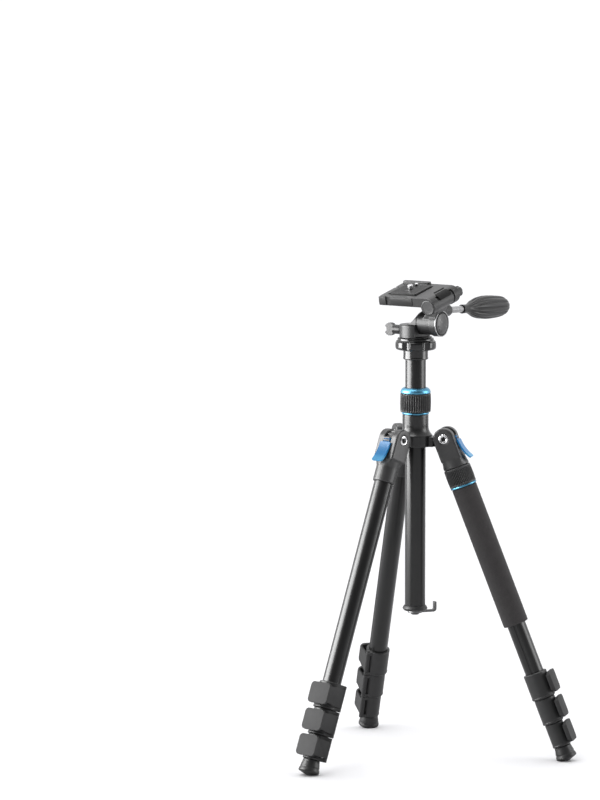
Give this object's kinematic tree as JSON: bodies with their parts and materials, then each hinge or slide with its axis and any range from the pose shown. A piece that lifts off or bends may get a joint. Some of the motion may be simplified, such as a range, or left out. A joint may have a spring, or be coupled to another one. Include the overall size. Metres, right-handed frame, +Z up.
{
  "type": "travel tripod with three-way pan head",
  "caption": "Folding travel tripod with telescoping legs, a sliding column, a weight hook and a pan-and-tilt head with a quick-release camera plate.",
  "frame": {"origin": "on the ground, under the centre column's axis", "axes": "+Z up along the centre column, +X along the foam-gripped monopod leg, +Y to the left seen from that leg's foot"},
  "size_m": [0.3006, 0.3423, 0.557],
  "materials": {
    "tube_black": "satin black anodised",
    "cast_black": "fine satin paint",
    "clamp_plastic": "fine moulded grain",
    "lever_plastic": "fine moulded grain, grey",
    "ring_blue": "bright blue anodised",
    "lever_blue": "gloss blue",
    "pin_chrome": "polished",
    "hook_steel": "dark plated",
    "foot_rubber": "matt rubber",
    "grip_foam": "closed-cell foam",
    "handle_rubber": "satin rubber",
    "collar_rubber": "ribbed rubber",
    "head_casting": "dark grey satin paint",
    "head_cap": "grey moulded",
    "platform_plastic": "fine moulded grain",
    "plate_plastic": "black moulded",
    "rod_steel": "satin steel",
    "screw_steel": "bright zinc"
  },
  "bodies": {
    "spider": {"hub": "cast_black", "leg_pivot_pins": "pin_chrome"},
    "column": {"column_tube": "tube_black", "column_end_cap": "clamp_plastic", "head_plate": "cast_black"},
    "lock_collar": {"column_lock_collar": "collar_rubber", "column_lock_rings": "ring_blue"},
    "hook": {"weight_hook": "hook_steel"},
    "right_leg": {"right_leg_shoulder": "cast_black", "right_upper_tube": "tube_black", "right_upper_clamp": "clamp_plastic", "foam_grip": "grip_foam"},
    "right_angle_release": {"right_angle_lever": "lever_blue"},
    "right_second_section": {"right_second_tube": "tube_black", "right_second_clamp": "clamp_plastic"},
    "right_third_section": {"right_third_tube": "tube_black", "right_third_clamp": "clamp_plastic"},
    "right_foot_section": {"right_foot_tube": "tube_black", "right_foot": "foot_rubber"},
    "right_upper_flip": {"right_upper_clamp_lever": "lever_plastic"},
    "right_second_flip": {"right_second_clamp_lever": "lever_plastic"},
    "right_third_flip": {"right_third_clamp_lever": "lever_plastic"},
    "monopod_coupling": {"monopod_coupler": "collar_rubber"},
    "rear_leg": {"rear_leg_shoulder": "cast_black", "rear_upper_tube": "tube_black", "rear_upper_clamp": "clamp_plastic"},
    "rear_angle_release": {"rear_angle_lever": "lever_blue"},
    "rear_second_section": {"rear_second_tube": "tube_black", "rear_second_clamp": "clamp_plastic"},
    "rear_third_section": {"rear_third_tube": "tube_black", "rear_third_clamp": "clamp_plastic"},
    "rear_foot_section": {"rear_foot_tube": "tube_black", "rear_foot": "foot_rubber"},
    "rear_upper_flip": {"rear_upper_clamp_lever": "lever_plastic"},
    "rear_second_flip": {"rear_second_clamp_lever": "lever_plastic"},
    "rear_third_flip": {"rear_third_clamp_lever": "lever_plastic"},
    "left_leg": {"left_leg_shoulder": "cast_black", "left_upper_tube": "tube_black", "left_upper_clamp": "clamp_plastic"},
    "left_angle_release": {"left_angle_lever": "lever_blue"},
    "left_second_section": {"left_second_tube": "tube_black", "left_second_clamp": "clamp_plastic"},
    "left_third_section": {"left_third_tube": "tube_black", "left_third_clamp": "clamp_plastic"},
    "left_foot_section": {"left_foot_tube": "tube_black", "left_foot": "foot_rubber"},
    "left_upper_flip": {"left_upper_clamp_lever": "lever_plastic"},
    "left_second_flip": {"left_second_clamp_lever": "lever_plastic"},
    "left_third_flip": {"left_third_clamp_lever": "lever_plastic"},
    "pan_stage": {"pan_base": "head_casting"},
    "pan_knob": {"pan_lock_knob": "clamp_plastic"},
    "tilt_stage": {"tilt_housing": "head_casting", "tilt_scale_cap": "head_cap"},
    "pan_handle": {"handle_rod": "rod_steel", "handle_grip": "handle_rubber"},
    "side_stage": {"platform": "platform_plastic"},
    "side_knob": {"side_lock_knob": "clamp_plastic"},
    "release_plate": {"quick_release_plate": "plate_plastic"},
    "camera_screw_body": {"camera_screw": "screw_steel"},
    "release_catch": {"quick_release_lever": "lever_plastic"}
  },
  "joints": [
    {"name": "column_slide", "type": "slide", "parent": "spider", "child": "column", "axis": [0, 0, -1], "range_m": [-0.185, 0.0325]},
    {"name": "collar_twist", "type": "hinge", "parent": "spider", "child": "lock_collar", "pos_m": [0, 0, 0.416], "axis": [0, 0, 1], "range_deg": [0, 60]},
    {"name": "hook_swivel", "type": "hinge", "parent": "column", "child": "hook", "pos_m": [0, 0, 0.1695], "axis": [0, 0, 1], "continuous": true},
    {"name": "right_leg_fold", "type": "hinge", "parent": "spider", "child": "right_leg", "pos_m": [0.036, 0, 0.37522], "axis": [0, 1, 0], "range_deg": [-143.6, 21.4]},
    {"name": "right_angle_release_press", "type": "hinge", "parent": "right_leg", "child": "right_angle_release", "pos_m": [0.04915, 0, 0.37017], "axis": [0, 1, 0], "range_deg": [0, 10], "stiffness_Nm_per_rad": 0.4, "springref_deg": -4.58},
    {"name": "right_second_section_slide", "type": "slide", "parent": "right_leg", "child": "right_second_section", "axis": [0.3649, 0, -0.9311], "range_m": [0, 0.24]},
    {"name": "right_third_section_slide", "type": "slide", "parent": "right_second_section", "child": "right_third_section", "axis": [0.3649, 0, -0.9311], "range_m": [0, 0.24]},
    {"name": "right_foot_section_slide", "type": "slide", "parent": "right_third_section", "child": "right_foot_section", "axis": [0.3649, 0, -0.9311], "range_m": [0, 0.24]},
    {"name": "right_upper_flip_open", "type": "hinge", "parent": "right_leg", "child": "right_upper_flip", "pos_m": [0.14162, 0.0141, 0.08515], "axis": [-0.3649, 0, 0.9311], "range_deg": [0, 110]},
    {"name": "right_second_flip_open", "type": "hinge", "parent": "right_second_section", "child": "right_second_flip", "pos_m": [0.1533, 0.0139, 0.05617], "axis": [-0.3649, 0, 0.9311], "range_deg": [0, 110]},
    {"name": "right_third_flip_open", "type": "hinge", "parent": "right_third_section", "child": "right_third_flip", "pos_m": [0.16464, 0.0131, 0.02834], "axis": [-0.3649, 0, 0.9311], "range_deg": [0, 110]},
    {"name": "monopod_coupler_turn", "type": "hinge", "parent": "right_leg", "child": "monopod_coupling", "pos_m": [0.05315, 0, 0.33146], "axis": [-0.3649, 0, 0.9311], "continuous": true},
    {"name": "rear_leg_fold", "type": "hinge", "parent": "spider", "child": "rear_leg", "pos_m": [-0.018, 0.03118, 0.37522], "axis": [-0.866, -0.5, 0], "range_deg": [-147.6, 21.4]},
    {"name": "rear_angle_release_press", "type": "hinge", "parent": "rear_leg", "child": "rear_angle_release", "pos_m": [-0.02457, 0.04256, 0.37017], "axis": [-0.866, -0.5, 0], "range_deg": [0, 10], "stiffness_Nm_per_rad": 0.4, "springref_deg": -4.58},
    {"name": "rear_second_section_slide", "type": "slide", "parent": "rear_leg", "child": "rear_second_section", "axis": [-0.1824, 0.316, -0.9311], "range_m": [0, 0.24]},
    {"name": "rear_third_section_slide", "type": "slide", "parent": "rear_second_section", "child": "rear_third_section", "axis": [-0.1824, 0.316, -0.9311], "range_m": [0, 0.24]},
    {"name": "rear_foot_section_slide", "type": "slide", "parent": "rear_third_section", "child": "rear_foot_section", "axis": [-0.1824, 0.316, -0.9311], "range_m": [0, 0.24]},
    {"name": "rear_upper_flip_open", "type": "hinge", "parent": "rear_leg", "child": "rear_upper_flip", "pos_m": [-0.08302, 0.1156, 0.08515], "axis": [0.1824, -0.316, 0.9311], "range_deg": [0, 110]},
    {"name": "rear_second_flip_open", "type": "hinge", "parent": "rear_second_section", "child": "rear_second_flip", "pos_m": [-0.08869, 0.12581, 0.05617], "axis": [0.1824, -0.316, 0.9311], "range_deg": [0, 110]},
    {"name": "rear_third_flip_open", "type": "hinge", "parent": "rear_third_section", "child": "rear_third_flip", "pos_m": [-0.09366, 0.13603, 0.02834], "axis": [0.1824, -0.316, 0.9311], "range_deg": [0, 110]},
    {"name": "left_leg_fold", "type": "hinge", "parent": "spider", "child": "left_leg", "pos_m": [-0.018, -0.03118, 0.37522], "axis": [0.866, -0.5, 0], "range_deg": [-150.6, 21.4]},
    {"name": "left_angle_release_press", "type": "hinge", "parent": "left_leg", "child": "left_angle_release", "pos_m": [-0.02457, -0.04256, 0.37017], "axis": [0.866, -0.5, 0], "range_deg": [0, 10], "stiffness_Nm_per_rad": 0.4, "springref_deg": -4.58},
    {"name": "left_second_section_slide", "type": "slide", "parent": "left_leg", "child": "left_second_section", "axis": [-0.1824, -0.316, -0.9311], "range_m": [0, 0.24]},
    {"name": "left_third_section_slide", "type": "slide", "parent": "left_second_section", "child": "left_third_section", "axis": [-0.1824, -0.316, -0.9311], "range_m": [0, 0.24]},
    {"name": "left_foot_section_slide", "type": "slide", "parent": "left_third_section", "child": "left_foot_section", "axis": [-0.1824, -0.316, -0.9311], "range_m": [0, 0.24]},
    {"name": "left_upper_flip_open", "type": "hinge", "parent": "left_leg", "child": "left_upper_flip", "pos_m": [-0.0586, -0.1297, 0.08515], "axis": [0.1824, 0.316, 0.9311], "range_deg": [0, 110]},
    {"name": "left_second_flip_open", "type": "hinge", "parent": "left_second_section", "child": "left_second_flip", "pos_m": [-0.06461, -0.13971, 0.05617], "axis": [0.1824, 0.316, 0.9311], "range_deg": [0, 110]},
    {"name": "left_third_flip_open", "type": "hinge", "parent": "left_third_section", "child": "left_third_flip", "pos_m": [-0.07097, -0.14913, 0.02834], "axis": [0.1824, 0.316, 0.9311], "range_deg": [0, 110]},
    {"name": "pan", "type": "hinge", "parent": "column", "child": "pan_stage", "pos_m": [0, 0, 0.5], "axis": [0, 0, 1], "continuous": true},
    {"name": "pan_lock_turn", "type": "hinge", "parent": "pan_stage", "child": "pan_knob", "pos_m": [-0.02812, 0.01046, 0.5], "axis": [-0.9373, 0.3486, 0], "range_deg": [0, 180]},
    {"name": "tilt", "type": "hinge", "parent": "pan_stage", "child": "tilt_stage", "pos_m": [0.01875, -0.00697, 0.5099], "axis": [0.9373, -0.3486, 0], "range_deg": [-42, 78]},
    {"name": "handle_twist", "type": "hinge", "parent": "tilt_stage", "child": "pan_handle", "pos_m": [0.02609, -0.01305, 0.52467], "axis": [0.3483, 0.9365, -0.0419], "range_deg": [0, 90]},
    {"name": "side_tilt", "type": "hinge", "parent": "tilt_stage", "child": "side_stage", "pos_m": [0.03312, -0.01853, 0.53729], "axis": [0.341, 0.9168, 0.2079], "range_deg": [-10, 90]},
    {"name": "side_lock_turn", "type": "hinge", "parent": "side_stage", "child": "side_knob", "pos_m": [0.04505, 0.01356, 0.54456], "axis": [0.341, 0.9168, 0.2079], "range_deg": [0, 180]},
    {"name": "release_plate_lift", "type": "slide", "parent": "side_stage", "child": "release_plate", "axis": [-0.0725, -0.1949, 0.9781], "range_m": [0, 0.02]},
    {"name": "camera_screw_turn", "type": "hinge", "parent": "release_plate", "child": "camera_screw_body", "pos_m": [-0.00415, -0.00773, 0.54598], "axis": [-0.0725, -0.1949, 0.9781], "continuous": true},
    {"name": "release_lever_pull", "type": "hinge", "parent": "side_stage", "child": "release_catch", "pos_m": [-0.0245, 0.00699, 0.54332], "axis": [0.0725, 0.1949, -0.9781], "range_deg": [0, 35], "stiffness_Nm_per_rad": 0.05, "springref_deg": -11.46}
  ]
}
